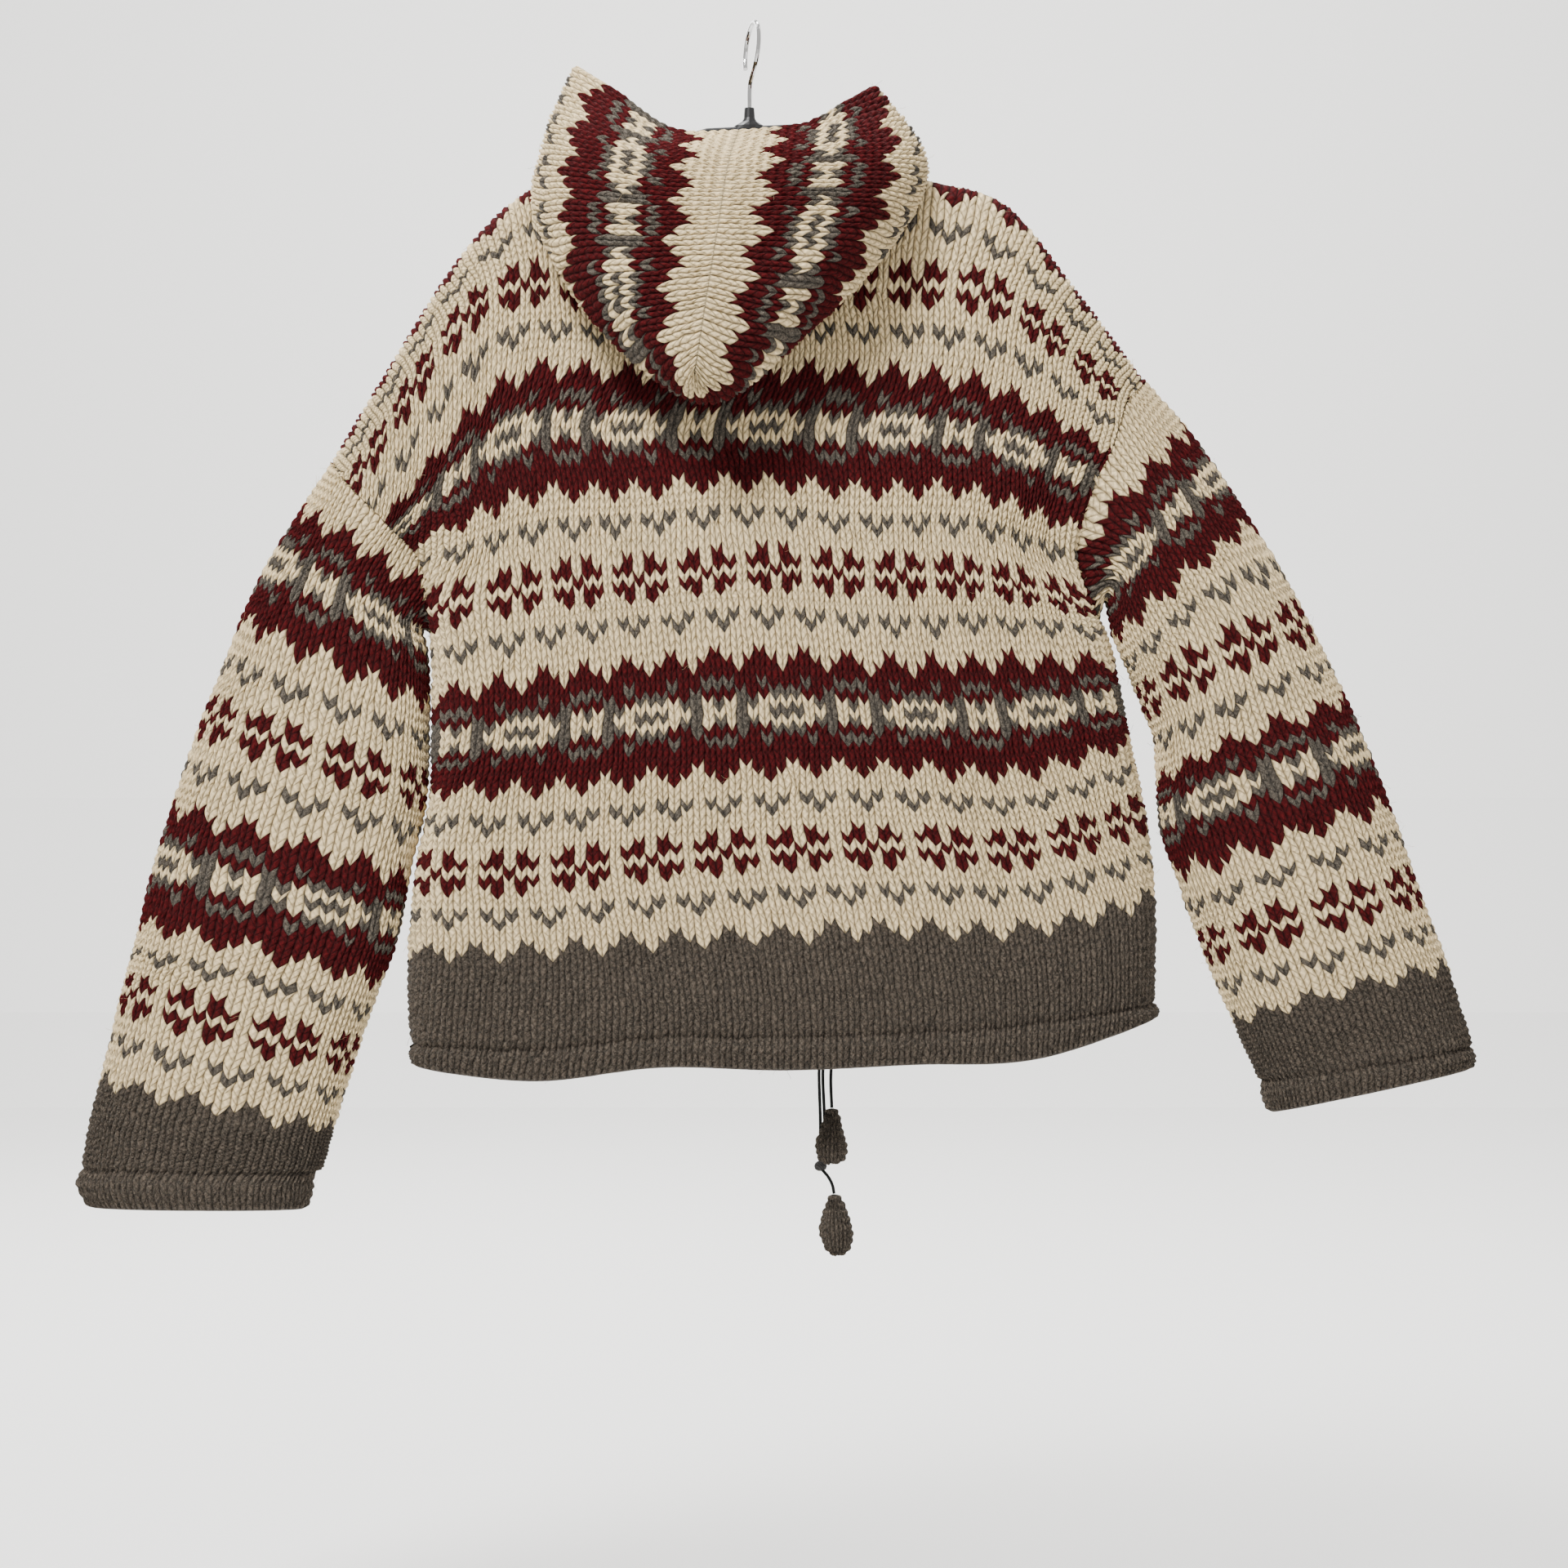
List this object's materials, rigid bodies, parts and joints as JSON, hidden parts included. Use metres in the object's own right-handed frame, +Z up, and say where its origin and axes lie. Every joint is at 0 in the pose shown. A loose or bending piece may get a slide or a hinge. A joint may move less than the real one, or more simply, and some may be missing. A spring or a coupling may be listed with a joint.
{
  "type": "fair isle zip-up hoodie on a clothes hanger",
  "caption": "Chunky knitted hooded cardigan with a front zip and fair isle bands, hung on a plain hanger with its hood down behind.",
  "frame": {"origin": "inner crown of the hanger's hook, where it rests on a rail", "axes": "+X to the right of the garment seen from its back, +Y out of the zip side, +Z up"},
  "size_m": [1.033, 0.1372, 0.9237],
  "materials": {
    "knit": "chunky wool stockinette, cream with dark red and heather grey bands",
    "zip_tape": "woven zip tape",
    "zip_metal": "dull nickel",
    "hanger_plastic": "black moulded plastic",
    "hook_chrome": "plated wire",
    "cord": "black elastic cord",
    "tassel_wool": "grey-brown wool, hand knitted"
  },
  "bodies": {
    "garment": {"back_panel": "knit", "front_panel_left": "knit", "front_panel_right": "knit", "sleeve_left": "knit", "sleeve_right": "knit", "hood": "knit", "zip_tape_left": "zip_tape", "zip_tape_right": "zip_tape", "zip_chain": "zip_metal", "zip_slider": "zip_metal", "hanger": "hanger_plastic", "hanger_hook": "hook_chrome", "drawcord_left": "cord", "drawcord_left_second": "cord", "drawcord_right": "cord", "drawcord_lower": "cord", "drawcord_knot": "cord", "tassel_upper": "tassel_wool", "tassel_lower": "tassel_wool"},
    "pull_tab": {"zip_pull": "zip_metal"}
  },
  "joints": [
    {"name": "pull_hinge", "type": "hinge", "parent": "garment", "child": "pull_tab", "pos_m": [-0.00833, 0.02134, -0.25367], "axis": [1, 0, 0], "range_deg": [0, 120]}
  ]
}
